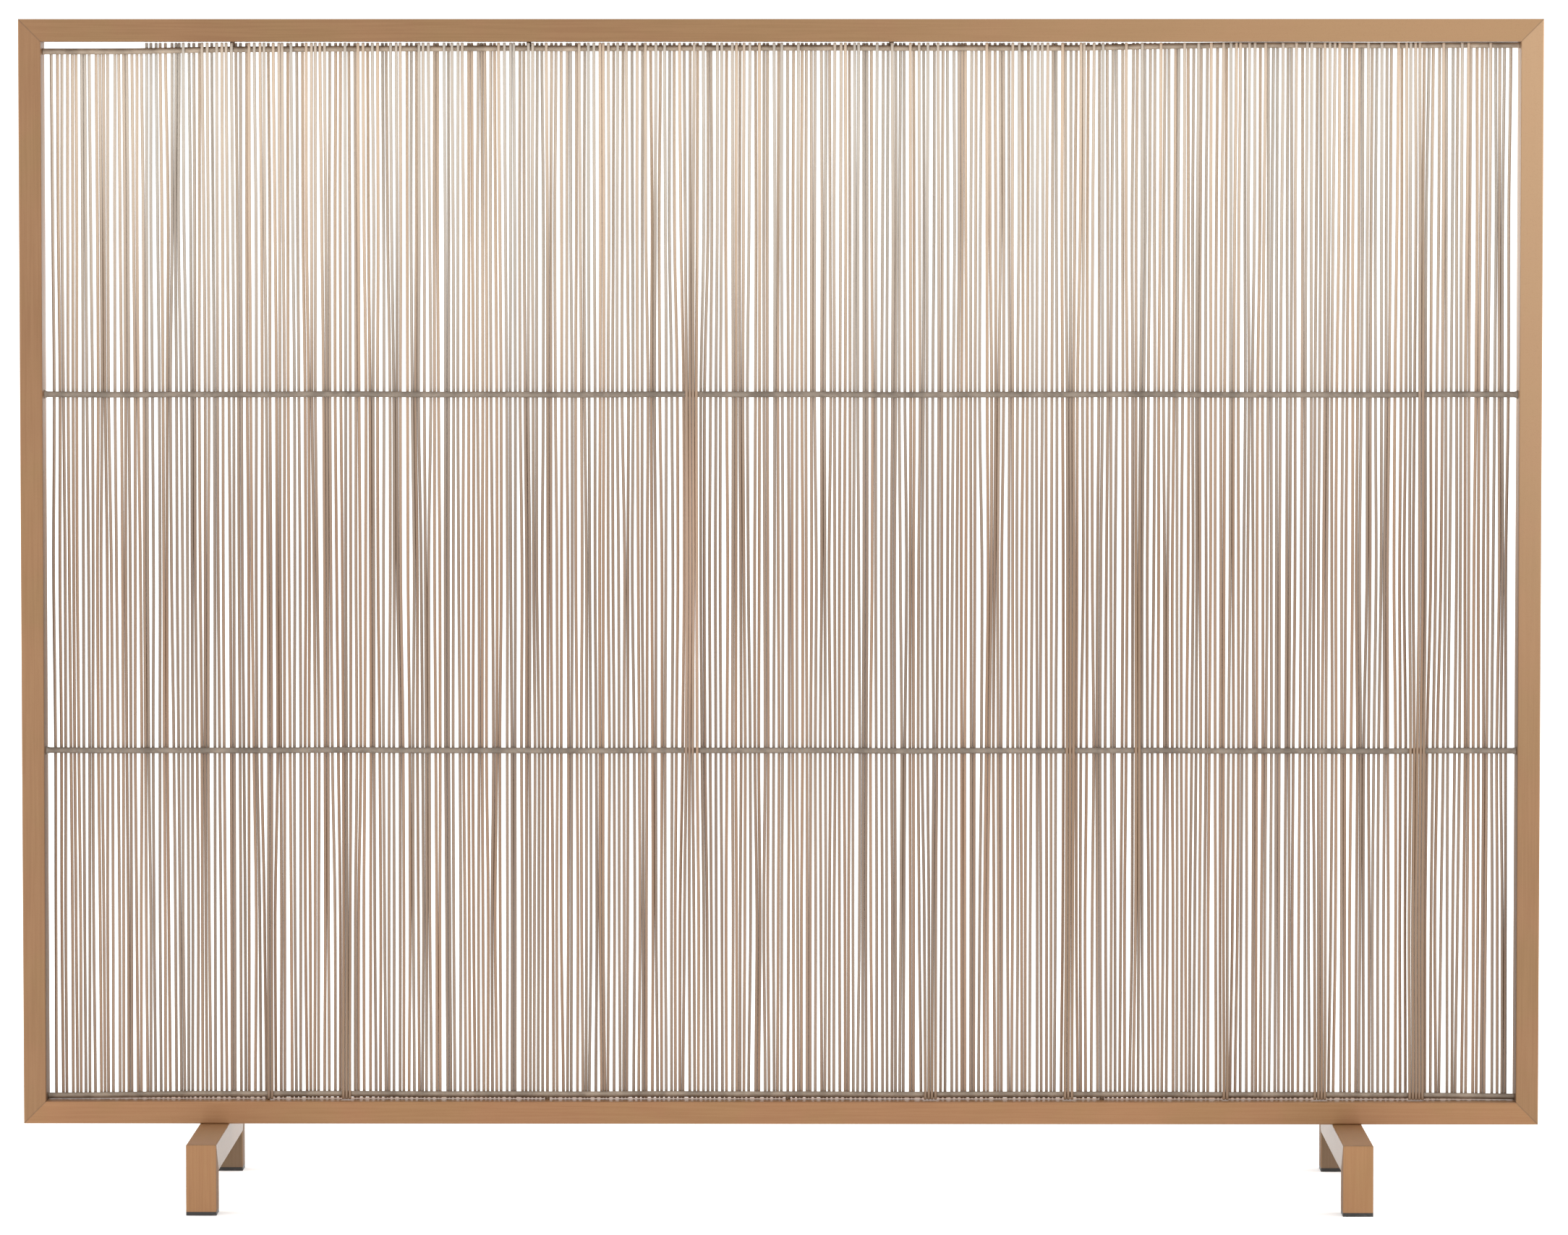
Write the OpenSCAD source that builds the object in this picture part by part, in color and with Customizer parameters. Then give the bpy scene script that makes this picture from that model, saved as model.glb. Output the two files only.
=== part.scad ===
// Free-standing fireplace screen. A flat rectangular frame of mitred tube stands on two bent-tube
// legs. Inside it, close vertical rods are welded to four horizontal wires. The rods are hand-set:
// no two gaps are alike, and here and there a few rods lean together until they touch.
// X runs along the screen, the front faces -Y, and Z is up from the floor.

/* [Frame] */
// Width of the frame
frame_w = 1016; // [900:1:1100]
// Height of the frame without the legs
frame_h = 740; // [680:1:800]
// Width of the frame tube, seen from the front
face_w = 15; // [12:1:18]
// Depth of the frame tube, front to back
frame_d = 25; // [25:1:35]
// Wall thickness of the frame tube and the leg tube
wall = 1.5; // [1:0.1:2]
// Radius on the long edges of the tubes
edge_r = 1; // [0.5:0.1:1.5]

/* [Legs] */
// Depth of a leg, front foot to rear foot
leg_d = 229; // [180:1:260]
// Side of the square leg tube
leg_w = 20; // [20:1:24]
// Distance of each leg from the middle of the frame
leg_x = 380; // [250:1:400]
// Height of the frame's underside above the floor
leg_h = 47; // [42:1:80]
// Thickness of a glide's rim under a foot
glide_t = 2.5; // [2:0.1:4]

/* [Wires] */
// Diameter of the four horizontal wires
wire_d = 4; // [3:0.1:5]
// Gap between the top rail and the top wire, before the wire's bends
top_gap = 2.5; // [2.4:0.1:5]
// Gap between the bottom rail and the bottom wire
bottom_gap = 1.6; // [0.3:0.1:3]
// Distance of the inner wires from the middle of the panel
inner_wire_z = 119.5; // [100:0.5:140]

/* [Rods] */
// Diameter of a rod
rod_d = 2; // [1.6:0.1:2]
// Distance of the outermost rods from the middle
rod_reach = 486.5; // [400:0.5:487]
// Closest that two neighbouring rods come, centre to centre
touch_pitch = 2.13; // [2.13:0.01:2.5]
// How uneven the gaps are, from even to very uneven
unevenness = 0.9; // [0:0.05:1.2]
// Share of the rods that pass in front of the top wire
top_front_share = 0.4; // [0:0.01:0.5]
// Number of small slits where two or three rods touch
slits = 48; // [0:1:80]

/* [Fixings] */
// Diameter of the leg screws
screw_d = 5; // [4:0.5:6]
// Distance between the two screws of a leg
screw_pitch = 13; // [12:0.5:14]

/* [Hidden] */
$fn = 48;
fit = 0.05;                              // radial clearance of parts that slide together
cut = 1;                                 // how far a cutter runs past what it cuts

frame_mid = leg_h + frame_h / 2;         // height of the panel's middle
inner_w = frame_w - 2 * face_w;          // clear width between the stiles
rail_bottom_top = leg_h + face_w;        // upper face of the bottom rail
rail_top_under = leg_h + frame_h - face_w;  // underside of the top rail
weld_d = wire_d + 2.2;                   // weld fillet where an inner wire meets a stile
outer_weld_d = wire_d + 0.2;             // weld collar on an outer wire, which runs close to a rail
weld_l = 2;
tab_d = 3.2;                             // pins that tie the outer wires to the rails
top_tabs_x = [-366, -168, 74];
bottom_tabs_x = [-345, -157, 5, 216];
// Bends of the outer wires: x and height. The top wire sags at the left end and runs close to the rail on
// the right, and the bottom wire sags at both ends.
top_wire_bends = [
    [-inner_w / 2, -2], [-430, -1.7], [-370, -0.4], [-150, 0.3], [200, 0.5], [300, 2.25], [inner_w / 2, 2.25]
];
bottom_wire_bends = [[-inner_w / 2, -1.2], [-400, 0], [370, 0], [inner_w / 2, -1.1]];

banks = 31;                              // the rods come in banks of equal number
bank_rods = 10;
rod_count = banks * bank_rods;
gaps = rod_count - 1;
mean_pitch = 2 * rod_reach / gaps;
mean_gap = mean_pitch - touch_pitch;     // room between two rods before they touch
joint_d = rod_d + 0.1;                   // short collar where a rod bends, at each wire and half way between
joint_h = 1.2;
joint_short = 0.25;                      // a straight stops this far short of its bend's centre
end_gap = 0.6;                           // a rod ends this far short of a rail
short_end = 1.4;                         // at the left end rods stop this far above the top wire's axis
short_x = -425;                          // the short rods stand left of here
rod_y = wire_d / 2 + joint_d / 2 + 0.07; // rods stand this far off the wires' plane

screw_l = 30;
head_d = 9.5;
head_h = 2.7;
socket_af = 3;                           // hexagon socket, across flats
insert_d = 7;                            // threaded inserts in the bottom rail
insert_l = 10.5;
plug_h = 10;                             // part of a glide that sits inside the foot
plug_wall = 1.6;

// Heights at which a rod may bend: the wires, and half way between them.
wire_z = [
    rail_bottom_top + bottom_gap + wire_d / 2, frame_mid - inner_wire_z,
    frame_mid + inner_wire_z, rail_top_under - top_gap - wire_d / 2
];
bend_z = [for (i = [0 : 6]) i % 2 == 0 ? wire_z[i / 2] : (wire_z[(i - 1) / 2] + wire_z[(i + 1) / 2]) / 2];

// Places where rods lean together: x, lowest z, highest z, half width.
clumps = concat([
    [-60, 230, 640, 10], [-60, 480, 780, 4], [428, -140, 400, 11.5], [429, 330, 820, 5.5],
    [194, -40, 680, 7], [240, 110, 620, 6.5], [-406, 530, 760, 4], [-394, 290, 710, 4],
    [-453, 390, 740, 4], [-304, 220, 740, 4], [-291, -140, 310, 7.5], [-343, -80, 280, 6],
    [-244, 290, 640, 4.5], [-14, 70, 310, 4.5], [101, -100, 240, 6], [142, 260, 480, 6],
    [87, 270, 500, 4], [299, -100, 220, 5.5], [363, -90, 240, 6], [486, -80, 290, 5],
    [484, 320, 540, 4], [481, 540, 740, 4], [-488, 280, 540, 4], [-165, 290, 560, 4.5],
    [-103, 280, 550, 3.6], [390, 140, 420, 4], [29, 310, 520, 4.5], [-200, 620, 840, 3.6],
    [315, 360, 660, 3.6], [-130, 10, 220, 4], [120, 540, 820, 3.6]
], [for (i = [1 : slits]) let (low = 520 * scatter(i, 52) - 120)
    [rod_reach * (2 * scatter(i, 51) - 1), low, low + 160 + 280 * scatter(i, 53), 3.4]
]);
grip = 0.92;                             // how much of its distance from a clump's middle a rod gives up
// Groups of rods that pass in front of the lower three wires: x of the middle, half width, and the
// heights between which they do.
front_groups = [
    [-342, 3, 0, 150], [-291, 5, 0, 180], [-60, 5, 250, 620], [101, 5, 0, 150], [193, 5, 0, 420],
    [240, 4, 200, 400], [299, 4, 0, 120], [362, 5, 0, 150], [427, 7, 0, 340], [428, 3, 340, 650]
];

function bank_name(b) = str("rods_", b < 10 ? "0" : "", b);

// A repeatable number from 0 to 1 for each pair of inputs.
function scatter(a, b) = let (v = 4375.85453 * sin(a * 78.233 + b * 129.898)) v - floor(v);

// Half a wave from 0 up to 1 and back to 0 between two heights.
function swell(z, low, high) = z <= low || z >= high ? 0 : pow(sin(180 * (z - low) / (high - low)), 2);

// How far clump c pulls a rod that stands at x towards its own middle, at height z.
function pull(c, x, z) =
    let (off = x - c[0])
    abs(off) > 3 * c[3] ? 0 : grip * min(1, 1.6 * swell(z, c[1], c[2])) * off * exp(-pow(off / c[3], 2));

function even_x(r) = r * mean_pitch - rod_reach;

// How far rod r strays from its even place at height z, as a share of the mean gap.
function stray(r, z) =
    1.5 * scatter(r, 1) - 0.75
    + 0.6 * sin(360 * ((0.6 + scatter(r, 2)) * z / frame_h + scatter(r, 3)));

// Where rod r would stand at height z if its neighbours gave way.
function wish(r, z) =
    even_x(r) + unevenness * mean_gap * stray(r, z) - sum([for (c = clumps) pull(c, even_x(r), z)]);

function sum(v, i = 0, total = 0) = i == len(v) ? total : sum(v, i + 1, total + v[i]);

// Moves places up, from the first on, until none is closer than touch_pitch to the one before.
function push(v) =
    let (n = len(v))
    [for (i = 0, x = v[0]; i < n; x = i + 1 < n ? max(v[i + 1], x + touch_pitch) : x, i = i + 1) x];

// The same places seen from the other end.
function flip(v) = [for (i = [len(v) - 1 : -1 : 0]) -v[i]];

// x of every rod at height z: pushed apart from both ends alike, so that no rod cuts into another.
function rods_x(z) =
    let (wishes = [for (r = [0 : rod_count - 1]) wish(r, z)])
    (push(wishes) + flip(push(flip(wishes)))) / 2;

rod_x = [for (z = bend_z) rods_x(z)];    // rod_x[bend][rod]

// Does rod r pass in front of wire w, counted from the bottom?
function in_front(r, w) =
    w == 3 ? even_x(r) > short_x && scatter(r, 8) < top_front_share
    : len([
        for (f = front_groups)
            if (abs(even_x(r) - f[0]) < f[1] && f[2] < wire_z[w] && wire_z[w] < f[3]) f
    ]) > 0;

// y of rod r at bend i: in front of a wire or behind it, and half-way between from one to the next.
function rod_y_at(r, i) =
    i % 2 == 0 ? (in_front(r, i / 2) ? -rod_y : rod_y)
    : (rod_y_at(r, i - 1) + rod_y_at(r, i + 1)) / 2;

// Heights of the outer wires' axes at x.
function top_wire_z(x) = wire_z[3] + lookup(x, top_wire_bends);
function bottom_wire_z(x) = wire_z[0] + lookup(x, bottom_wire_bends);

// Height at which a rod that stands at x ends.
function rod_top(x) = x < short_x ? top_wire_z(x) + short_end : rail_top_under - end_gap;

// Square or rectangular outline with rounded corners, centred.
module rounded(w, h, r) {
    square([w - 2 * r, h], center = true);
    square([w, h - 2 * r], center = true);
    for (x = [-1, 1], y = [-1, 1])
        translate([x * (w / 2 - r), y * (h / 2 - r)]) circle(r);
}

// Cross-section of a tube.
module tube_section(w, h) {
    difference() {
        rounded(w, h, edge_r);
        square([w - 2 * wall, h - 2 * wall], center = true);
    }
}

// Tube along X with its upper face at z = 0, mitred at the ends given by start and end.
module mitred_tube(length, w, h, start = true, end = true) {
    intersection() {
        translate([0, 0, -h / 2]) rotate([90, 0, 90])
            linear_extrude(length, center = true) tube_section(w, h);
        rotate([90, 0, 0]) linear_extrude(w + cut, center = true)
            polygon([
                [-length / 2, 0], [length / 2, 0],
                [length / 2 - (end ? h : 0), -h], [-length / 2 + (start ? h : 0), -h]
            ]);
    }
}

// Places the children at both screws of the leg at x.
module at_screws(x) {
    for (y = [-1, 1]) translate([x, y * screw_pitch / 2, 0]) children();
}

module top_rail() {
    color("#a77f58") translate([0, 0, leg_h + frame_h]) mitred_tube(frame_w, frame_d, face_w);
}

module bottom_rail() {
    color("#ad8357") difference() {
        translate([0, 0, leg_h]) mirror([0, 0, 1]) mitred_tube(frame_w, frame_d, face_w);
        for (x = [-leg_x, leg_x]) at_screws(x)
            translate([0, 0, leg_h - cut]) cylinder(h = wall + 2 * cut, d = insert_d + 2 * fit);
    }
}

module stile(side) {
    translate([side * frame_w / 2, 0, frame_mid]) rotate([0, side * 90, 0])
        mitred_tube(frame_h, frame_d, face_w);
}

module left_stile() {
    color("#a78060") stile(-1);
}

module right_stile() {
    color("#b7946a") stile(1);
}

// Straight round bar between two points, stopping a little short of both.
module straight(a, b, d) {
    run = b - a;
    length = norm(run);
    translate(a) rotate([0, 0, atan2(run[1], run[0])]) rotate([0, acos(run[2] / length), 0])
        translate([0, 0, joint_short]) cylinder(h = length - 2 * joint_short, d = d);
}

// Weld at the stile end of a wire at height z, on the left (side -1) or the right (side 1).
module end_weld(side, z, d, tip_d) {
    translate([side * (inner_w / 2 - fit), 0, z]) rotate([0, -side * 90, 0])
        cylinder(h = weld_l, d1 = d, d2 = tip_d);
}

// Straight wire between the stiles at height z.
module wire(z) {
    translate([0, 0, z]) rotate([0, 90, 0]) cylinder(h = inner_w - 2 * fit, d = wire_d, center = true);
    for (side = [-1, 1]) end_weld(side, z, weld_d, wire_d);
}

// Wire between the stiles that bends up and down about height z, with a short collar at each bend.
module bent_wire(z, bends) {
    end = inner_w / 2 - fit;
    last = len(bends) - 1;
    xs = concat([-end], [for (i = [1 : last - 1]) bends[i][0]], [end]);
    points = [for (x = xs) [x, 0, z + lookup(x, bends)]];
    for (i = [1 : last]) straight(points[i - 1], points[i], wire_d);
    for (i = [1 : last - 1]) translate(points[i]) rotate([0, 90, 0])
        cylinder(h = joint_h, d = wire_d + 0.1, center = true);
    for (side = [-1, 1]) end_weld(side, z + lookup(side * end, bends), outer_weld_d, outer_weld_d);
}

module top_wire() {
    color("#786452") bent_wire(wire_z[3], top_wire_bends);
}

module upper_wire() {
    color("#786452") wire(wire_z[2]);
}

module lower_wire() {
    color("#786452") wire(wire_z[1]);
}

module bottom_wire() {
    color("#786452") bent_wire(wire_z[0], bottom_wire_bends);
}

// Pin from a rail's face at rail_z to the wire whose axis is at axis_z, hollowed to sit on the wire.
module tab(x, rail_z, axis_z) {
    difference() {
        translate([x, 0, min(rail_z, axis_z)]) cylinder(h = abs(rail_z - axis_z), d = tab_d);
        translate([x, 0, axis_z]) rotate([0, 90, 0])
            cylinder(h = 2 * tab_d, d = wire_d + 2 * fit, center = true);
    }
}

module top_tabs() {
    color("#5b4b3e") for (x = top_tabs_x) tab(x, rail_top_under, top_wire_z(x));
}

module bottom_tabs() {
    color("#5b4b3e") for (x = bottom_tabs_x) tab(x, rail_bottom_top, bottom_wire_z(x));
}

module rod(r) {
    top = len(bend_z) - 1;
    bends = [
        for (i = [0 : top]) let (x = rod_x[i][r])
            [x, rod_y_at(r, i), i == top ? top_wire_z(x) : i == 0 ? bottom_wire_z(x) : bend_z[i]]
    ];
    low_end = bends[0][2] - rail_bottom_top - end_gap;
    for (p = bends) translate(p) cylinder(h = joint_h, d = joint_d, center = true);
    for (i = [1 : top]) straight(bends[i - 1], bends[i], rod_d);
    translate(bends[0] - [0, 0, low_end]) cylinder(h = low_end, d = rod_d);
    translate(bends[top]) cylinder(h = rod_top(bends[top][0]) - bends[top][2], d = rod_d);
}

module rod_bank(b) {
    color("#b39b84") for (r = [(b - 1) * bank_rods : b * bank_rods - 1]) rod(r);
}

module crossbar(x) {
    difference() {
        translate([x, 0, leg_h]) rotate([0, 0, 90]) mitred_tube(leg_d, leg_w, leg_w);
        at_screws(x) translate([0, 0, leg_h - leg_w - cut])
            cylinder(h = leg_w + 2 * cut, d = screw_d + 0.5);
    }
}

// Foot at x, on the front (side -1) or the rear (side 1), mitred to the crossbar at its top.
module foot(x, side) {
    height = leg_h - glide_t;
    translate([x, side * leg_d / 2, glide_t + height / 2]) rotate([0, 0, side * 90])
        rotate([0, 90, 0]) mitred_tube(height, leg_w, leg_w, start = true, end = false);
}

// Plastic glide: a rim under the tube and a hollow plug inside it.
module glide(x, side) {
    bore = leg_w - 2 * wall;
    plug = bore - 4 * fit;
    translate([x, side * (leg_d - leg_w) / 2, 0]) difference() {
        union() {
            linear_extrude(glide_t) rounded(leg_w, leg_w, edge_r);
            linear_extrude(glide_t + plug_h) square(plug, center = true);
        }
        translate([0, 0, glide_t]) linear_extrude(plug_h + cut) square(plug - 2 * plug_wall, center = true);
    }
}

module left_crossbar() {
    color("#a07454") crossbar(-leg_x);
}

module right_crossbar() {
    color("#a07454") crossbar(leg_x);
}

module left_front_foot() {
    color("#b4875f") foot(-leg_x, -1);
}

module left_rear_foot() {
    color("#b4875f") foot(-leg_x, 1);
}

module right_front_foot() {
    color("#b4875f") foot(leg_x, -1);
}

module right_rear_foot() {
    color("#b4875f") foot(leg_x, 1);
}

module left_front_glide() {
    color("#1c1a18") glide(-leg_x, -1);
}

module left_rear_glide() {
    color("#1c1a18") glide(-leg_x, 1);
}

module right_front_glide() {
    color("#1c1a18") glide(leg_x, -1);
}

module right_rear_glide() {
    color("#1c1a18") glide(leg_x, 1);
}

// Button-head screw standing head down, with the head's bearing face at z = 0.
module screw() {
    difference() {
        union() {
            cylinder(h = screw_l, d = screw_d);
            translate([0, 0, -head_h]) cylinder(h = head_h, d1 = head_d * 0.6, d2 = head_d);
        }
        translate([0, 0, -head_h - cut]) cylinder(h = cut + head_h * 0.7, d = socket_af / cos(30), $fn = 6);
    }
}

module leg_screws() {
    color("#3a3835") for (x = [-leg_x, leg_x]) at_screws(x)
        translate([0, 0, leg_h - leg_w]) screw();
}

module leg_inserts() {
    color("#9a9a98") for (x = [-leg_x, leg_x]) at_screws(x)
        translate([0, 0, leg_h]) difference() {
            cylinder(h = insert_l, d = insert_d);
            translate([0, 0, -cut]) cylinder(h = insert_l + 2 * cut, d = screw_d + 2 * fit);
        }
}

top_rail();
bottom_rail();
left_stile();
right_stile();
top_wire();
upper_wire();
lower_wire();
bottom_wire();
top_tabs();
bottom_tabs();
for (b = [1 : banks]) rod_bank(b);
left_crossbar();
left_front_foot();
left_rear_foot();
right_crossbar();
right_front_foot();
right_rear_foot();
left_front_glide();
left_rear_glide();
right_front_glide();
right_rear_glide();
leg_screws();
leg_inserts();
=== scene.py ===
import math

import bpy
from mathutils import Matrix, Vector


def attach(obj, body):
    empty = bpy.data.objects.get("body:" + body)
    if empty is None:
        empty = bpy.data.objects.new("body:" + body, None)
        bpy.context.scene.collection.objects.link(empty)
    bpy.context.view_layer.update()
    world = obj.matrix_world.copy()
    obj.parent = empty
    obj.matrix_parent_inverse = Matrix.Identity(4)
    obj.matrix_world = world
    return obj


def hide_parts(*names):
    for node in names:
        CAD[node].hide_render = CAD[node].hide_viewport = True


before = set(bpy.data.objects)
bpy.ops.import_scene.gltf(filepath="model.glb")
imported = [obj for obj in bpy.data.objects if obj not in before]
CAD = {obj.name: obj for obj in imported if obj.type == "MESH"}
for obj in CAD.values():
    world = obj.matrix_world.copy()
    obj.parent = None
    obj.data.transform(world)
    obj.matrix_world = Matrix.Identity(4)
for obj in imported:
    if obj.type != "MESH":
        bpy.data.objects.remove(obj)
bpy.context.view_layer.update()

MM = 0.001
TAU = 2 * math.pi

# ---------------------------------------------------------------- sizes, all in millimetres
FRAME_W = 1016
FRAME_H = 740
FACE_W = 15
LEG_H = 47
LEG_D = 229
LEG_W = 20
WIRE_D = 4
INNER_WIRE_Z = 119.5
TOP_GAP = 2.5
BOTTOM_GAP = 1.6
ROD_D = 2
END_GAP = 0.6
SHORT_END = 1.4
SHORT_X = -425
ROD_REACH = 486.5
TOUCH_PITCH = 2.13
UNEVENNESS = 0.9
TOP_FRONT_SHARE = 0.4
SLITS = 48
BANKS = 31
BANK_RODS = 10
GRIP = 0.92
INNER_W = FRAME_W - 2 * FACE_W
MID_Z = LEG_H + FRAME_H / 2
ROD_COUNT = BANKS * BANK_RODS
MEAN_PITCH = 2 * ROD_REACH / (ROD_COUNT - 1)
ROD_Y = WIRE_D / 2 + ROD_D / 2 + 0.12

WIRE_Z = [
    LEG_H + FACE_W + BOTTOM_GAP + WIRE_D / 2, MID_Z - INNER_WIRE_Z,
    MID_Z + INNER_WIRE_Z, LEG_H + FRAME_H - FACE_W - TOP_GAP - WIRE_D / 2,
]
BEND_Z = [WIRE_Z[i // 2] if i % 2 == 0 else (WIRE_Z[i // 2] + WIRE_Z[i // 2 + 1]) / 2 for i in range(7)]
TOP_WIRE_BENDS = [
    (-INNER_W / 2, -2), (-430, -1.7), (-370, -0.4), (-150, 0.3), (200, 0.5), (300, 2.25), (INNER_W / 2, 2.25),
]
BOTTOM_WIRE_BENDS = [(-INNER_W / 2, -1.2), (-400, 0), (370, 0), (INNER_W / 2, -1.1)]
RAIL_BOTTOM_TOP = LEG_H + FACE_W
RAIL_TOP_UNDER = LEG_H + FRAME_H - FACE_W


# ---------------------------------------------------------------- where the rods stand, as in part.scad
def scatter(a, b):
    """A repeatable number from 0 to 1 for each pair of inputs."""
    v = 4375.85453 * math.sin(math.radians(a * 78.233 + b * 129.898))
    return v - math.floor(v)


# Places where rods lean together: x, lowest z, highest z, half width.
CLUMPS = [
    (-60, 230, 640, 10), (-60, 480, 780, 4), (428, -140, 400, 11.5), (429, 330, 820, 5.5),
    (194, -40, 680, 7), (240, 110, 620, 6.5), (-406, 530, 760, 4), (-394, 290, 710, 4),
    (-453, 390, 740, 4), (-304, 220, 740, 4), (-291, -140, 310, 7.5), (-343, -80, 280, 6),
    (-244, 290, 640, 4.5), (-14, 70, 310, 4.5), (101, -100, 240, 6), (142, 260, 480, 6),
    (87, 270, 500, 4), (299, -100, 220, 5.5), (363, -90, 240, 6), (486, -80, 290, 5),
    (484, 320, 540, 4), (481, 540, 740, 4), (-488, 280, 540, 4), (-165, 290, 560, 4.5),
    (-103, 280, 550, 3.6), (390, 140, 420, 4), (29, 310, 520, 4.5), (-200, 620, 840, 3.6),
    (315, 360, 660, 3.6), (-130, 10, 220, 4), (120, 540, 820, 3.6),
]
for slit in range(1, SLITS + 1):
    slit_x = ROD_REACH * (2 * scatter(slit, 51) - 1)
    slit_low = 520 * scatter(slit, 52) - 120
    CLUMPS.append((slit_x, slit_low, slit_low + 160 + 280 * scatter(slit, 53), 3.4))
# Groups of rods that pass in front of the lower three wires: x of the middle, half width, and the heights
# between which they do.
FRONT_GROUPS = [
    (-342, 3, 0, 150), (-291, 5, 0, 180), (-60, 5, 250, 620), (101, 5, 0, 150), (193, 5, 0, 420),
    (240, 4, 200, 400), (299, 4, 0, 120), (362, 5, 0, 150), (427, 7, 0, 340), (428, 3, 340, 650),
]


def even_x(r):
    return r * MEAN_PITCH - ROD_REACH


def swell(z, low, high):
    """Half a wave from 0 up to 1 and back to 0 between two heights."""
    return math.sin(math.pi * (z - low) / (high - low)) ** 2 if low < z < high else 0


def pull(clump, x, z):
    """How far a clump pulls a rod that stands at x towards its own middle, at height z."""
    middle, low, high, half = clump
    if abs(x - middle) > 3 * half:
        return 0
    return GRIP * min(1, 1.6 * swell(z, low, high)) * (x - middle) * math.exp(-(((x - middle) / half) ** 2))


def wish(r, z):
    """Where rod r would stand at height z if its neighbours gave way."""
    wave = math.sin(TAU * ((0.6 + scatter(r, 2)) * z / FRAME_H + scatter(r, 3)))
    stray = 1.5 * scatter(r, 1) - 0.75 + 0.6 * wave
    pulls = sum(pull(c, even_x(r), z) for c in CLUMPS)
    return even_x(r) + UNEVENNESS * (MEAN_PITCH - TOUCH_PITCH) * stray - pulls


def push(places):
    """Moves places up, from the first on, until none is closer than TOUCH_PITCH to the one before."""
    moved = places[:1]
    for x in places[1:]:
        moved.append(max(x, moved[-1] + TOUCH_PITCH))
    return moved


def rods_x(z):
    """x of every rod at height z, pushed apart from both ends alike."""
    wishes = [wish(r, z) for r in range(ROD_COUNT)]
    back = [-x for x in push([-x for x in reversed(wishes)])]
    return [(a + b) / 2 for a, b in zip(push(wishes), reversed(back))]


ROD_X = [rods_x(z) for z in BEND_Z]


def in_front(r, wire):
    """Does rod r pass in front of a wire, counted from the bottom?"""
    if wire == 3:
        return even_x(r) > SHORT_X and scatter(r, 8) < TOP_FRONT_SHARE
    return any(abs(even_x(r) - x) < half and low < WIRE_Z[wire] < high for x, half, low, high in FRONT_GROUPS)


def rod_x_at(r, z):
    """x of rod r at height z, on a smooth curve through its bends."""
    z = min(max(z, BEND_Z[0]), BEND_Z[-1])
    i = min(max(sum(z > b for b in BEND_Z) - 1, 0), len(BEND_Z) - 2)
    p = [ROD_X[min(max(i + k, 0), len(BEND_Z) - 1)][r] for k in (-1, 0, 1, 2)]
    t = (z - BEND_Z[i]) / (BEND_Z[i + 1] - BEND_Z[i])
    smooth = t * t * (3 - 2 * t)
    a, b = (p[2] - p[0]) / 2, (p[3] - p[1]) / 2
    return p[1] + (p[2] - p[1]) * smooth + 0.5 * (a * (t**3 - 2 * t**2 + t) + b * (t**3 - t**2))


def rod_y_at(r, z):
    """y of rod r at height z. Half way between two wires it swings over to its side of the next one."""
    z = min(max(z, WIRE_Z[0]), WIRE_Z[-1])
    w = min(max(sum(z > level for level in WIRE_Z) - 1, 0), len(WIRE_Z) - 2)
    a, b = (-ROD_Y if in_front(r, i) else ROD_Y for i in (w, w + 1))
    t = (z - WIRE_Z[w]) / (WIRE_Z[w + 1] - WIRE_Z[w])
    return a + (b - a) * t * t * (3 - 2 * t)


def crowd_at(clumps, x, z):
    """How tightly the rods are bunched where a rod that stands at x passes height z, from 0 to 1."""
    return max((min(1, 1.6 * swell(z, low, high)) * math.exp(-(((x - middle) / (0.7 * half)) ** 2))
                for middle, low, high, half in clumps), default=0)


def clamp(value):
    return min(max(value, 0), 1)


def share_at(groups, z):
    """How much of its groups' colour a rod has at height z, fading out above and below them."""
    return max((share * clamp((z - low) / GROUP_FADE + 0.5) * clamp((high - z) / GROUP_FADE + 0.5)
                for _, _, low, high, share in groups), default=0)


def along(x, bends):
    """Height at x on straight runs between bends."""
    for (x0, z0), (x1, z1) in zip(bends, bends[1:]):
        if x <= x1:
            return z0 + (z1 - z0) * (x - x0) / (x1 - x0)
    return bends[-1][1]


def top_wire_z(x):
    return WIRE_Z[3] + along(x, TOP_WIRE_BENDS)


def bottom_wire_z(x):
    return WIRE_Z[0] + along(x, BOTTOM_WIRE_BENDS)


# ---------------------------------------------------------------- mesh helpers
class Build:
    """Collects vertices in millimetres, faces and one number per vertex for each named attribute."""

    def __init__(self, *attributes):
        self.points, self.faces = [], []
        self.values = {a: [] for a in attributes}

    def ring(self, points, **values):
        first = len(self.points)
        self.points += points
        for name, store in self.values.items():
            store += [values[name]] * len(points)
        return range(first, len(self.points))

    def join(self, a, b):
        n = len(a)
        self.faces += [(a[i], a[(i + 1) % n], b[(i + 1) % n], b[i]) for i in range(n)]

    def tube(self, rings):
        for a, b in zip(rings, rings[1:]):
            self.join(a, b)
        self.faces.append(tuple(reversed(rings[0])))
        self.faces.append(tuple(rings[-1]))

    def piece(self, name, material, slot, *nodes):
        mesh = bpy.data.meshes.new(name)
        mesh.from_pydata([(x * MM, y * MM, z * MM) for x, y, z in self.points], [], self.faces)
        for attribute, store in self.values.items():
            mesh.attributes.new(attribute, "FLOAT", "POINT").data.foreach_set("value", store)
        mesh.shade_smooth()
        mesh.materials.append(material)
        mesh.update()
        obj = bpy.data.objects.new(name, mesh)
        bpy.context.scene.collection.objects.link(obj)
        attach(obj, "root")
        if nodes:
            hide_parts(*nodes)
        return obj


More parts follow.
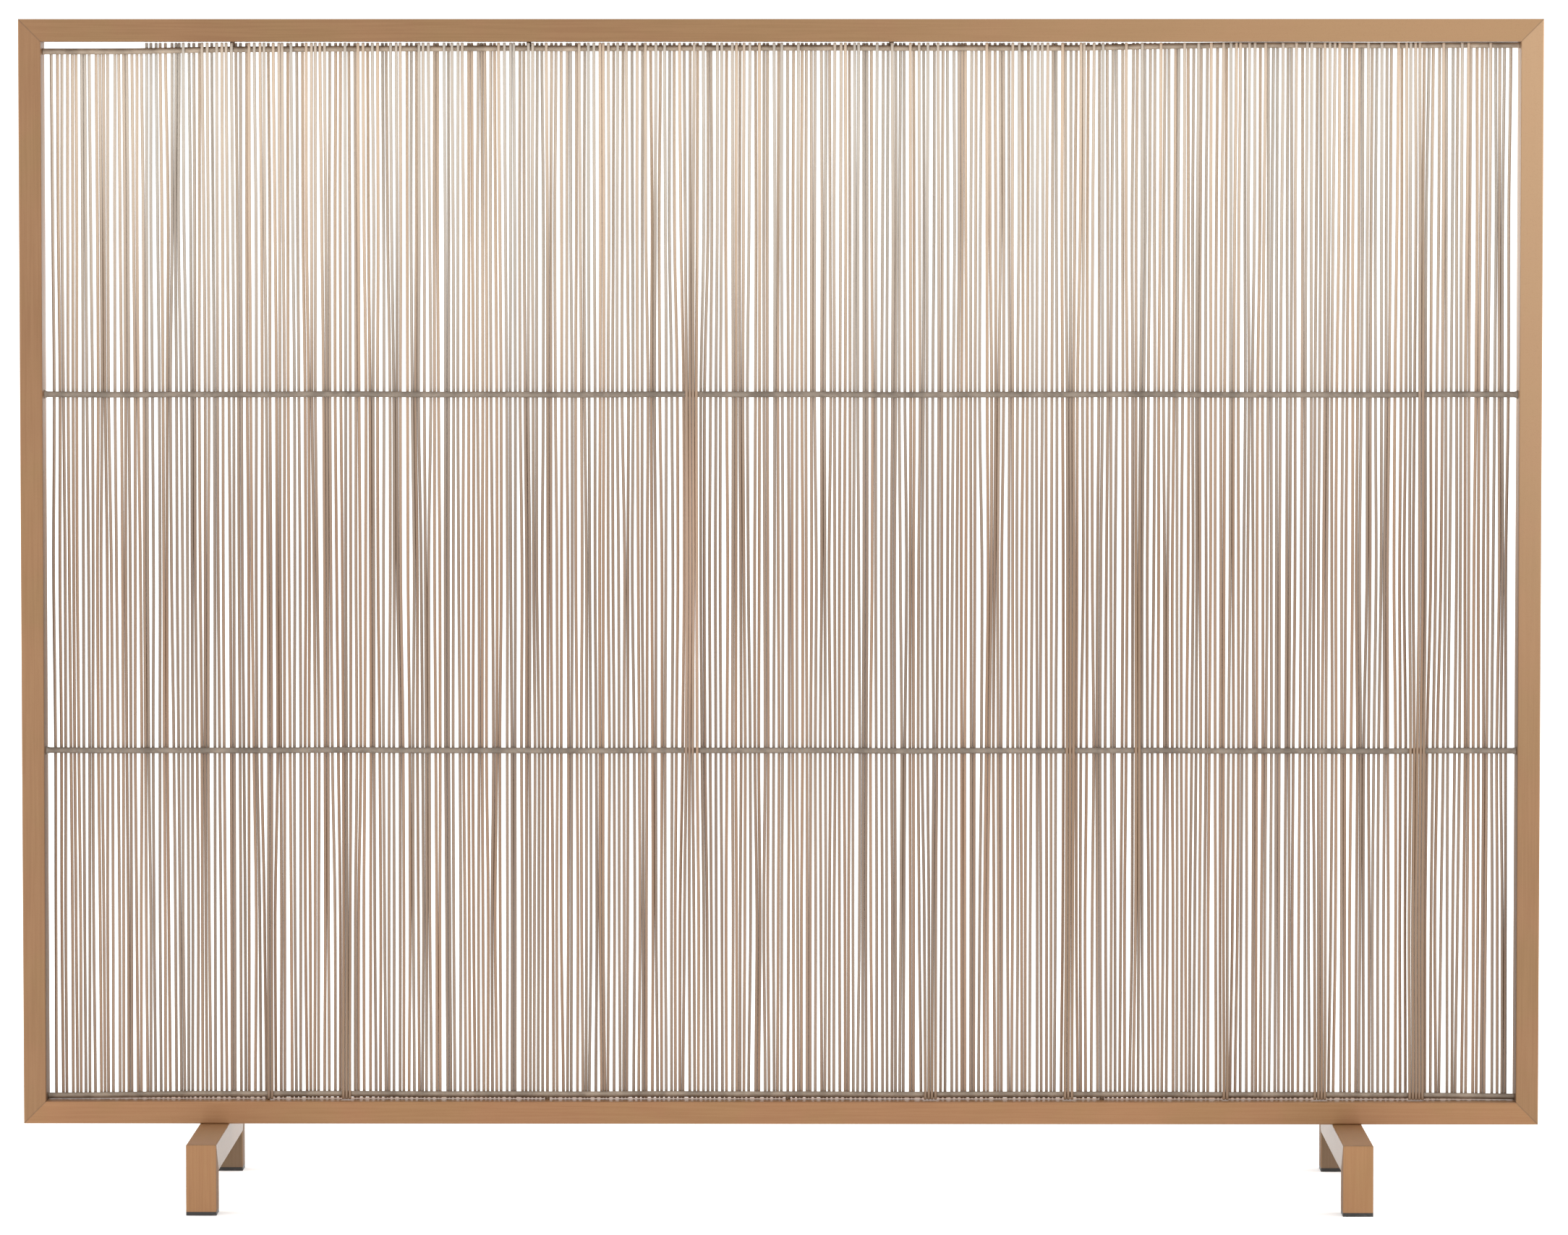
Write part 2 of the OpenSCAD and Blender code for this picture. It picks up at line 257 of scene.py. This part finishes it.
# ---------------------------------------------------------------- shader helpers
class Shader:
    """A node material under construction, with one Principled surface."""

    def __init__(self, name):
        self.material = bpy.data.materials.new(name)
        self.material.use_nodes = True
        self.tree = self.material.node_tree
        self.surface = self.tree.nodes["Principled BSDF"]
        self.place = self.node("ShaderNodeTexCoord").outputs["Object"]

    def node(self, kind, **settings):
        n = self.tree.nodes.new(kind)
        for key, value in settings.items():
            setattr(n, key, value)
        return n

    def feed(self, socket, value):
        if isinstance(value, bpy.types.NodeSocket):
            self.tree.links.new(value, socket)
        else:
            socket.default_value = value

    def math(self, operation, a, b=0.0, clamp=False):
        n = self.node("ShaderNodeMath", operation=operation, use_clamp=clamp)
        self.feed(n.inputs[0], a)
        self.feed(n.inputs[1], b)
        return n.outputs[0]

    def noise(self, scale, detail=4.0, stretch=(1, 1, 1), roughness=0.5):
        """Noise from 0 to 1 at so many features a metre, squeezed along the axes by stretch."""
        m = self.node("ShaderNodeMapping")
        self.feed(m.inputs["Vector"], self.place)
        m.inputs["Scale"].default_value = stretch
        n = self.node("ShaderNodeTexNoise")
        self.feed(n.inputs["Vector"], m.outputs[0])
        n.inputs["Scale"].default_value = scale
        n.inputs["Detail"].default_value = detail
        n.inputs["Roughness"].default_value = roughness
        return n.outputs["Fac"]

    def span(self, value, low, high, to_low=0.0, to_high=1.0):
        """value from low..high on to to_low..to_high, held at the ends."""
        n = self.node("ShaderNodeMapRange", interpolation_type="SMOOTHSTEP")
        for socket, v in zip(n.inputs, (value, low, high, to_low, to_high)):
            self.feed(socket, v)
        return n.outputs[0]

    def mix(self, factor, a, b, blend="MIX"):
        n = self.node("ShaderNodeMix", data_type="RGBA", blend_type=blend)
        colours = [s for s in n.inputs if s.type == "RGBA"]
        self.feed(n.inputs[0], factor)
        self.feed(colours[0], a if isinstance(a, bpy.types.NodeSocket) else (*a, 1))
        self.feed(colours[1], b if isinstance(b, bpy.types.NodeSocket) else (*b, 1))
        return next(s for s in n.outputs if s.type == "RGBA")

    def axes(self):
        n = self.node("ShaderNodeSeparateXYZ")
        self.feed(n.inputs[0], self.place)
        return n.outputs

    def number(self, attribute):
        return self.node("ShaderNodeAttribute", attribute_name=attribute).outputs["Fac"]

    def edges(self, radius, low=0.02, high=0.25):
        """1 on convex and concave edges, 0 on flats."""
        bevel = self.node("ShaderNodeBevel", samples=4)
        bevel.inputs["Radius"].default_value = radius
        flat = self.node("ShaderNodeNewGeometry").outputs["True Normal"]
        dot = self.node("ShaderNodeVectorMath", operation="DOT_PRODUCT")
        self.feed(dot.inputs[0], bevel.outputs[0])
        self.feed(dot.inputs[1], flat)
        return self.span(self.math("SUBTRACT", 1.0, dot.outputs["Value"]), low, high)

    def normal(self):
        """The three parts of the surface's direction."""
        n = self.node("ShaderNodeSeparateXYZ")
        self.feed(n.inputs[0], self.node("ShaderNodeNewGeometry").outputs["True Normal"])
        return n.outputs

    def front_side(self):
        """1 on the faces that look to the front."""
        return self.span(self.normal()[1], -0.95, -0.8, 1.0, 0.0)

    def inward_side(self):
        """1 on the faces of the stiles that look at the panel."""
        across = self.span(self.math("ABSOLUTE", self.normal()[0]), 0.8, 0.95)
        within = self.span(self.math("ABSOLUTE", self.axes()[0]), 0.494, 0.496, 1.0, 0.0)
        return self.math("MULTIPLY", across, within)

    def bump(self, height, distance, strength=1.0):
        n = self.node("ShaderNodeBump")
        n.inputs["Distance"].default_value = distance
        n.inputs["Strength"].default_value = strength
        self.feed(n.inputs["Height"], height)
        self.feed(self.surface.inputs["Normal"], n.outputs[0])

    def finish(self, colour, roughness, metallic, coat=0.0, coat_roughness=0.2, ior=1.5):
        s = self.surface.inputs
        self.feed(s["Base Color"], colour)
        self.feed(s["Roughness"], roughness)
        s["Metallic"].default_value = metallic
        s["Coat Weight"].default_value = coat
        s["Coat Roughness"].default_value = coat_roughness
        s["IOR"].default_value = ior
        return self.material


SEAM_W = 0.9            # a mitre's seam fades out this far to either side


def seam(shader, u, v, reach):
    """1 along a mitre, where the distances u and v from two outer faces are equal, out to reach."""
    near = shader.span(shader.math("MAXIMUM", u, v), reach, reach * 1.05, 1.0, 0.0)
    off = shader.math("ABSOLUTE", shader.math("SUBTRACT", u, v))
    return shader.math("MULTIPLY", near, shader.span(off, 0.0, SEAM_W * MM, 1.0, 0.0))


# The finish, dark to light, as linear colours; some of them paint light and shade.
BRONZE_DARK = (0.166, 0.075, 0.029)
BRONZE = (0.228, 0.110, 0.042)
BRONZE_PALE = (0.356, 0.207, 0.099)
BRONZE_OLIVE = (0.219, 0.123, 0.043)
BRONZE_LIT_TOP_RIGHT = (0.437, 0.275, 0.147)
ROD_DARK = (0.235, 0.156, 0.108)
ROD_MID = (0.300, 0.206, 0.146)
ROD_TOP_LIGHT = (0.530, 0.448, 0.368)
ROD_BROWN = (0.255, 0.162, 0.098)
ROD_LIT_WARM = (0.450, 0.305, 0.215)
ROD_SHADE = (0.150, 0.102, 0.068)
COOL_TINT = (0.93, 1.00, 1.06)
WARM_TINT = (1.09, 0.99, 0.88)
WIRE_DARK = (0.155, 0.124, 0.096)
WIRE_PALE = (0.270, 0.218, 0.172)
UMBER = (0.060, 0.038, 0.024)


SATIN = (0.08, 0.25)    # a clear coat's weight and roughness
GLOSSY = (0.4, 0.1)
PLAIN = (1, 1, 1)


def bronze(name, stretch, seam_of, light_tint=PLAIN, front_shade_tint=PLAIN, lit_top_right=BRONZE_PALE, gloss=SATIN):
    """Satin bronze lacquer on tube, with a drawn grain along the tube, painted shade on its edges and creases
    and painted light that makes it paler towards the top right. The inner faces of the stiles are rougher and
    carry painted shade in the lower half. Tints give painted lighter, cooler and shaded copies for single
    parts."""
    s = Shader(name)
    cloud = s.noise(7, 5)
    patch = s.noise(23, 3)
    fleck = s.noise(1400, 2)
    grain = s.noise(900, 3, stretch)
    colour = s.mix(s.span(cloud, 0.3, 0.7), BRONZE_DARK, BRONZE_PALE)
    colour = s.mix(0.82, colour, BRONZE)
    colour = s.mix(s.math("MULTIPLY", s.span(patch, 0.4, 0.65), 0.5), colour, BRONZE_OLIVE)
    x, _, z = s.axes()
    # painted light: the bronze is mixed paler towards the top right
    colour = s.mix(s.span(s.math("ADD", x, z), 0.65, 1.35, 0.0, 0.85), colour, lit_top_right)
    colour = s.mix(s.math("MULTIPLY", s.span(grain, 0.35, 0.65), 0.16), colour, BRONZE_PALE)
    colour = s.mix(s.math("MULTIPLY", s.span(fleck, 0.55, 0.75), 0.14), colour, BRONZE_DARK)
    # painted shade: edges and creases are darkened towards umber
    edge_shade = s.edges(0.0012)
    colour = s.mix(s.math("MULTIPLY", edge_shade, 0.4), colour, UMBER)
    height = s.math("ADD", s.math("MULTIPLY", grain, 0.6), s.math("MULTIPLY", fleck, 0.4))
    line = seam_of(s)
    colour = s.mix(s.math("MULTIPLY", line, 0.2), colour, UMBER)
    height = s.math("SUBTRACT", height, s.math("MULTIPLY", line, 2.0))
    # painted light: a tint makes lighter or cooler copies of this bronze for single parts
    colour = s.mix(1.0, colour, light_tint, "MULTIPLY")
    # painted shade: faces that look to the front are tinted darker and greyer
    colour = s.mix(s.front_side(), colour, front_shade_tint, "MULTIPLY")
    s.bump(height, 0.00004, 0.6)
    # painted shade: the stiles' inner faces are darkened in the lower half, and made rougher there too
    inner_rough_and_shade = s.math("MULTIPLY", s.inward_side(), s.span(z, 0.28, 0.62, 1.0, 0.0))
    colour = s.mix(s.math("MULTIPLY", inner_rough_and_shade, 0.5), colour, UMBER)
    rough = s.math("ADD", s.span(cloud, 0.3, 0.7, 0.34, 0.46), s.math("MULTIPLY", grain, 0.08))
    rough = s.math("ADD", rough, s.math("MULTIPLY", inner_rough_and_shade, 0.4))
    return s.finish(colour, rough, 0.25, *gloss)


def frame_seam(s):
    x, _, z = s.axes()
    u = s.math("SUBTRACT", FRAME_W / 2 * MM, s.math("ABSOLUTE", x))
    v = s.math("SUBTRACT", FRAME_H / 2 * MM, s.math("ABSOLUTE", s.math("SUBTRACT", z, MID_Z * MM)))
    return seam(s, u, v, FACE_W * MM)


def leg_seam(s):
    _, y, z = s.axes()
    u = s.math("SUBTRACT", LEG_D / 2 * MM, s.math("ABSOLUTE", y))
    v = s.math("SUBTRACT", LEG_H * MM, z)
    return seam(s, u, v, LEG_W * MM)


def rod_bronze():
    """Greyer lacquer on thin drawn rod: each rod has its own tone and hue. Painted light makes it paler
    towards the top, painted shade darkens it where rods bunch together, and it is browned at the welds. The
    few rods in front of the lower wires have kept the frame's brown; painted light makes one group a paler,
    warmer brown."""
    s = Shader("rod_bronze")
    tone = s.number("tone")
    heat = s.number("heat")
    _, _, z = s.axes()
    cloud = s.noise(28, 4, (1, 1, 0.25))
    streak = s.noise(800, 3, (1, 1, 0.02))
    colour = s.mix(s.span(tone, 0, 1), ROD_DARK, ROD_MID)
    colour = s.mix(s.math("MULTIPLY", s.span(cloud, 0.35, 0.7), 0.2), colour, ROD_DARK)
    # painted light: rods are mixed paler towards the top
    colour = s.mix(s.span(z, 0.40, 0.78), colour, ROD_TOP_LIGHT)
    colour = s.mix(s.math("MULTIPLY", s.span(streak, 0.4, 0.6), 0.12), colour, ROD_DARK)
    colour = s.mix(1.0, colour, s.mix(s.number("hue"), COOL_TINT, WARM_TINT), "MULTIPLY")
    # painted shade where the rods bunch together
    colour = s.mix(s.math("MULTIPLY", s.number("crowd"), 0.36), colour, ROD_SHADE)
    colour = s.mix(s.math("MULTIPLY", s.number("brown"), 0.8), colour, ROD_BROWN)
    # painted light: one clump of rods is made a paler, warmer brown
    colour = s.mix(s.number("lit_warm"), colour, ROD_LIT_WARM)
    colour = s.mix(s.math("MULTIPLY", heat, 0.5), colour, UMBER)
    s.bump(streak, 0.00003, 0.5)
    rough = s.math("ADD", s.span(cloud, 0.3, 0.7, 0.26, 0.38), s.math("MULTIPLY", heat, 0.15))
    return s.finish(colour, rough, 0.25, coat=0.15, coat_roughness=0.2)


def wire_bronze(name, light_tint=PLAIN):
    """Darker, duller metal of the horizontal wires."""
    s = Shader(name)
    cloud = s.noise(60, 4)
    soot = s.noise(300, 4, (0.5, 1, 1))
    colour = s.mix(s.span(cloud, 0.3, 0.7), WIRE_DARK, WIRE_PALE)
    colour = s.mix(s.math("MULTIPLY", s.span(soot, 0.45, 0.7), 0.3), colour, UMBER)
    colour = s.mix(s.math("MULTIPLY", s.number("heat"), 0.9), colour, UMBER)
    # painted light: a tint can make a wire a lighter copy of this bronze
    colour = s.mix(1.0, colour, light_tint, "MULTIPLY")
    s.bump(soot, 0.00008, 0.6)
    return s.finish(colour, s.span(cloud, 0.3, 0.7, 0.42, 0.58), 0.3)


def weld_bead():
    """Lumpy brown weld metal."""
    s = Shader("weld_bead")
    lumps = s.noise(900, 4)
    colour = s.mix(s.span(lumps, 0.35, 0.65), UMBER, (0.20, 0.125, 0.075))
    s.bump(lumps, 0.0002, 0.8)
    return s.finish(colour, s.span(lumps, 0.3, 0.7, 0.4, 0.65), 0.4)


def black_plastic():
    """Moulded plastic of the glides, scuffed where it meets the floor."""
    s = Shader("black_plastic")
    _, _, z = s.axes()
    pits = s.noise(1600, 3)
    scuff = s.math("MULTIPLY", s.span(s.noise(220, 5), 0.5, 0.7), s.span(z, 0.0, 0.002, 1.0, 0.15))
    colour = s.mix(s.math("MULTIPLY", scuff, 0.6), (0.012, 0.011, 0.010), (0.10, 0.09, 0.08))
    s.bump(pits, 0.00005, 0.5)
    return s.finish(colour, s.span(scuff, 0, 1, 0.45, 0.75), 0.0)


def plated(name, dark, light, rough):
    """Turned steel hardware with fine rings of tool marks."""
    s = Shader(name)
    marks = s.noise(2600, 3, (1, 1, 0.2))
    cloud = s.noise(240, 3)
    colour = s.mix(s.span(cloud, 0.3, 0.7), dark, light)
    s.bump(marks, 0.00003, 0.5)
    return s.finish(colour, s.span(marks, 0.3, 0.7, rough, rough + 0.14), 0.9)


# The grain is drawn out along each tube.
ALONG_X, ALONG_Y, ALONG_Z = (0.02, 1, 1), (1, 0.02, 1), (1, 1, 0.02)
# painted light: the bottom rail and front feet are lighter copies of one bronze, and the stiles a slightly
# cooler one
RAIL = bronze("rail_bronze", ALONG_X, frame_seam)
LOW_RAIL = bronze("low_rail_bronze", ALONG_X, frame_seam, light_tint=(1.20, 1.13, 1.12))
STILE = bronze("stile_bronze", ALONG_Z, frame_seam, light_tint=(1.02, 1.02, 1.06), lit_top_right=BRONZE_LIT_TOP_RIGHT)
BAR = bronze("crossbar_bronze", ALONG_Y, leg_seam, gloss=GLOSSY)
FOOT = bronze("foot_bronze", ALONG_Z, leg_seam, light_tint=(1.18, 1.14, 1.08))
# painted shade: the rear feet's front faces are tinted as if shaded by the screen
REAR_FOOT = bronze("rear_foot_bronze", ALONG_Z, leg_seam, front_shade_tint=(0.72, 0.86, 1.15))
ROD = rod_bronze()
WIRE = wire_bronze("wire_bronze")
# painted light: the top and bottom wires are lighter copies, lifting the shade under the rails
TOP_WIRE = wire_bronze("top_wire_bronze", (1.75, 1.72, 1.65))
BOTTOM_WIRE = wire_bronze("bottom_wire_bronze", (1.25, 1.22, 1.18))
WELD = weld_bead()
PLASTIC = black_plastic()
SCREW = plated("black_screw", (0.03, 0.03, 0.03), (0.07, 0.068, 0.065), 0.3)
INSERT = plated("zinc_insert", (0.42, 0.42, 0.41), (0.60, 0.60, 0.58), 0.25)


def coat(material, *names):
    """Gives CAD nodes their finish."""
    for name in names:
        mesh = CAD[name].data
        mesh.materials.clear()
        mesh.materials.append(material)


coat(RAIL, "top_rail")
coat(LOW_RAIL, "bottom_rail")
coat(STILE, "left_stile", "right_stile")
coat(BAR, "left_crossbar", "right_crossbar")
coat(FOOT, "left_front_foot", "right_front_foot")
coat(REAR_FOOT, "left_rear_foot", "right_rear_foot")
coat(PLASTIC, "left_front_glide", "left_rear_glide", "right_front_glide", "right_rear_glide")
coat(SCREW, "leg_screws")
coat(INSERT, "leg_inserts")
coat(WELD, "top_tabs", "bottom_tabs")


# ---------------------------------------------------------------- rods
ROD_SIDES = 10
ROD_STEP = 24           # about this far between the rings of a rod
HEAT_REACH = 4          # the weld has browned the rod this far up and down
ROD_PLUMP = 0.05        # rods that touch close the last of their gap
ROD_ENDS = [(0, 0.72), (0.3, 0.95), (0.6, 1.0)]     # distance from a rod's end, and share of its radius there
GROUP_FADE = 80         # height over which a group's colour fades out
# Groups that have kept the frame's brown: x of the middle, half width, lowest z, highest z, share.
BROWN_GROUPS = [
    (-342, 3, 0, 90, 0.6), (-291, 5, 0, 160, 1.0), (-60, 5, 450, 600, 0.6),
    (101, 5, 0, 130, 0.9), (193, 5, 0, 420, 1.0), (240, 4, 200, 460, 1.0),
    (299, 4, 0, 120, 1.0), (362, 5, 0, 130, 1.0), (427, 7, 0, 340, 0.9),
]
# Groups with painted light that makes them a paler, warmer brown, in the same form.
LIT_WARM_GROUPS = [(-60, 8, 320, 510, 0.62)]


def circle_xy(x, y, z, radius, sides):
    angles = [TAU * i / sides for i in range(sides)]
    return [(x + radius * math.cos(a), y + radius * math.sin(a), z) for a in angles]


def rod_heights():
    """Heights of a rod's rings: even steps, with more close to each weld."""
    low, high = BEND_Z[0], BEND_Z[-1]
    steps = round((high - low) / ROD_STEP)
    heights = {round(low + (high - low) * i / steps, 3) for i in range(steps + 1)}
    for z in WIRE_Z:
        heights |= {round(z + d, 3) for d in (-HEAT_REACH, -2, 0, 2, HEAT_REACH)}
    return sorted(h for h in heights if low <= h <= high)


def groups_of(r, groups):
    """Those groups that rod r stands in."""
    return [g for g in groups if abs(even_x(r) - g[0]) < g[1]]


def rod(build, r):
    tone, hue = scatter(r, 11), scatter(r, 12)
    radius = ROD_D / 2 + ROD_PLUMP
    top_x = ROD_X[-1][r]
    bottom_wire, top_wire = bottom_wire_z(ROD_X[0][r]), top_wire_z(top_x)
    drop, lift = bottom_wire - BEND_Z[0], top_wire - BEND_Z[-1]
    clumps = [c for c in CLUMPS if abs(even_x(r) - c[0]) < 2 * c[3]]
    browns, lit_warms = groups_of(r, BROWN_GROUPS), groups_of(r, LIT_WARM_GROUPS)
    rings = []

    def ring(z, size):
        heat = max(0, 1 - min(abs(z - w) for w in (bottom_wire, *WIRE_Z[1:3], top_wire)) / HEAT_REACH)
        outline = circle_xy(rod_x_at(r, z), rod_y_at(r, z), z, size, ROD_SIDES)
        crowd = crowd_at(clumps, even_x(r), z)
        brown, lit_warm = share_at(browns, z), share_at(lit_warms, z)
        rings.append(build.ring(outline, tone=tone, hue=hue, heat=heat, crowd=crowd, brown=brown, lit_warm=lit_warm))

    for inward, share in ROD_ENDS:
        ring(RAIL_BOTTOM_TOP + END_GAP + inward, radius * share)
    for z in rod_heights():
        above = clamp((z - WIRE_Z[2]) / (WIRE_Z[3] - WIRE_Z[2]))
        below = clamp((WIRE_Z[1] - z) / (WIRE_Z[1] - WIRE_Z[0]))
        ring(z + lift * above + drop * below, radius)
    tip = top_wire + SHORT_END if top_x < SHORT_X else RAIL_TOP_UNDER - END_GAP
    for inward, share in reversed(ROD_ENDS):
        ring(tip - inward, radius * share)
    build.tube(rings)


for bank in range(1, BANKS + 1):
    node = f"rods_{bank:02d}"
    build = Build("tone", "hue", "heat", "crowd", "brown", "lit_warm")
    for r in range((bank - 1) * BANK_RODS, bank * BANK_RODS):
        rod(build, r)
    build.piece(f"rod_bank_{bank:02d}", ROD, "rod_metal", node)


# ---------------------------------------------------------------- wires and welds
WIRE_SIDES = 14
WIRE_STEP = 9
WELD_L = 2.4
WIRE_PLAY = 0.05                # the wires stop this far short of the stiles
INNER_WELD_D = WIRE_D + 2.2
OUTER_WELD_D = WIRE_D + 0.2     # the outer wires run close to a rail


def wire(name, node, material, axis_z, weld_d, wave):
    """A wire between the stiles, drawn a little wavy, flaring into a weld at each end."""
    build = Build("heat")
    half = INNER_W / 2 - WIRE_PLAY
    steps = round(2 * half / WIRE_STEP)
    places = [-half + 2 * half * i / steps for i in range(steps + 1)]
    places += [s * (half - d) for s in (-1, 1) for d in (0.6, 1.3, WELD_L)]
    rings = []
    for x in sorted(places):
        flare = max(0, 1 - (half - abs(x)) / WELD_L) ** 1.6
        radius = WIRE_D / 2 + (weld_d - WIRE_D) / 2 * flare
        z = axis_z(x) + wave * (1 - flare) * (math.sin(x / 41 + axis_z(0)) + 0.6 * math.sin(x / 17))
        points = [
            (x, radius * math.cos(TAU * i / WIRE_SIDES), z + radius * math.sin(TAU * i / WIRE_SIDES))
            for i in range(WIRE_SIDES)
        ]
        rings.append(build.ring(points, heat=flare))
    build.tube(rings)
    build.piece(name, material, "wire_metal", node)


wire("top_cross_wire", "top_wire", TOP_WIRE, top_wire_z, OUTER_WELD_D, 0.1)
wire("upper_cross_wire", "upper_wire", WIRE, lambda x: WIRE_Z[2], INNER_WELD_D, 0.16)
wire("lower_cross_wire", "lower_wire", WIRE, lambda x: WIRE_Z[1], INNER_WELD_D, 0.16)
wire("bottom_cross_wire", "bottom_wire", BOTTOM_WIRE, bottom_wire_z, OUTER_WELD_D, 0.1)


BLOB_SIDES = 8
BLOB_LEVELS = (-0.92, -0.5, 0.1, 0.62, 0.95)    # heights of a bead's rings, as shares of its half height


def blob(build, centre, size, turn):
    """A small lumpy weld bead."""
    x, y, z = centre
    a, b, c = size
    rings = []
    for level in BLOB_LEVELS:
        wide = math.sqrt(1 - level * level)
        points = []
        for i in range(BLOB_SIDES):
            angle = TAU * i / BLOB_SIDES + turn
            out = wide * (1 + 0.14 * math.sin(3 * angle + 7 * turn))
            points.append((x + a * out * math.cos(angle), y + b * out * math.sin(angle), z + c * level))
        rings.append(build.ring(points))
    build.tube(rings)


for name, level in (("bottom", 0), ("lower", 1), ("upper", 2), ("top", 3)):
    build = Build()
    for r in range(ROD_COUNT):
        side = -1 if in_front(r, level) else 1
        x = ROD_X[2 * level][r]
        z = top_wire_z(x) if level == 3 else bottom_wire_z(x) if level == 0 else WIRE_Z[level]
        size = 0.85 + 0.3 * scatter(r, 20 + level)
        sizes = (size, 0.75 * size, 1.5 * size)
        blob(build, (x, side * WIRE_D / 2, z), sizes, TAU * scatter(r, 30 + level))
    build.piece(f"{name}_wire_welds", WELD, "wire_metal")


# ---------------------------------------------------------------- floor, light and camera, in metres
FLOOR_REACH = 60
SKY = 1.35
BOX_PLACE, BOX_SIZE, BOX_POWER = (2.4, 0.3, 1.5), (1.2, 1.6), 30
BOX_TARGET = (0, 0, 0.75)
CAMERA_PLACE = (0.0329, -4.740, 0.688)
CAMERA_TURN = (90 - 3.0, 0, 0.37)       # degrees: tilted 3 down from level, and turned a little to the left


def floor():
    mesh = bpy.data.meshes.new("floor")
    corners = [(FLOOR_REACH * x, FLOOR_REACH * y, 0) for x, y in ((-1, -1), (1, -1), (1, 1), (-1, 1))]
    mesh.from_pydata(corners, [], [(0, 1, 2, 3)])
    s = Shader("pale_floor")
    cloud = s.noise(0.6, 3)
    colour = s.mix(s.span(cloud, 0.3, 0.7), (0.93, 0.93, 0.925), (0.95, 0.95, 0.945))
    mesh.materials.append(s.finish(colour, s.span(cloud, 0.3, 0.7, 0.85, 0.9), 0.0))
    s.surface.inputs["Specular IOR Level"].default_value = 0.1
    s.surface.inputs["Emission Color"].default_value = (1, 1, 1, 1)
    s.surface.inputs["Emission Strength"].default_value = 0.2
    obj = bpy.data.objects.new("floor", mesh)
    bpy.context.scene.collection.objects.link(obj)


def softbox(name, side):
    """Soft light on the left (side -1) or the right (side 1)."""
    x, y, z = BOX_PLACE
    place = (side * x, y, z)
    light = bpy.data.lights.new(name, "AREA")
    light.shape = "RECTANGLE"
    light.size, light.size_y = BOX_SIZE
    light.energy = BOX_POWER
    obj = bpy.data.objects.new(name, light)
    obj.location = place
    obj.rotation_euler = (Vector(BOX_TARGET) - Vector(place)).to_track_quat("-Z", "Y").to_euler()
    bpy.context.scene.collection.objects.link(obj)


def sky():
    """Even white studio surroundings."""
    world = bpy.data.worlds.new("studio")
    world.use_nodes = True
    world.node_tree.nodes["Background"].inputs["Color"].default_value = (1, 1, 1, 1)
    world.node_tree.nodes["Background"].inputs["Strength"].default_value = SKY
    bpy.context.scene.world = world


def camera():
    cam = bpy.data.cameras.new("camera")
    cam.sensor_width = 36
    cam.lens = 162.7
    cam.shift_y = -0.05
    cam.clip_end = 200
    obj = bpy.data.objects.new("camera", cam)
    obj.location = CAMERA_PLACE
    obj.rotation_euler = [math.radians(angle) for angle in CAMERA_TURN]
    bpy.context.scene.collection.objects.link(obj)
    bpy.context.scene.camera = obj


floor()
sky()
softbox("left_softbox", -1)
softbox("right_softbox", 1)
camera()
bpy.context.scene.view_settings.view_transform = "Standard"
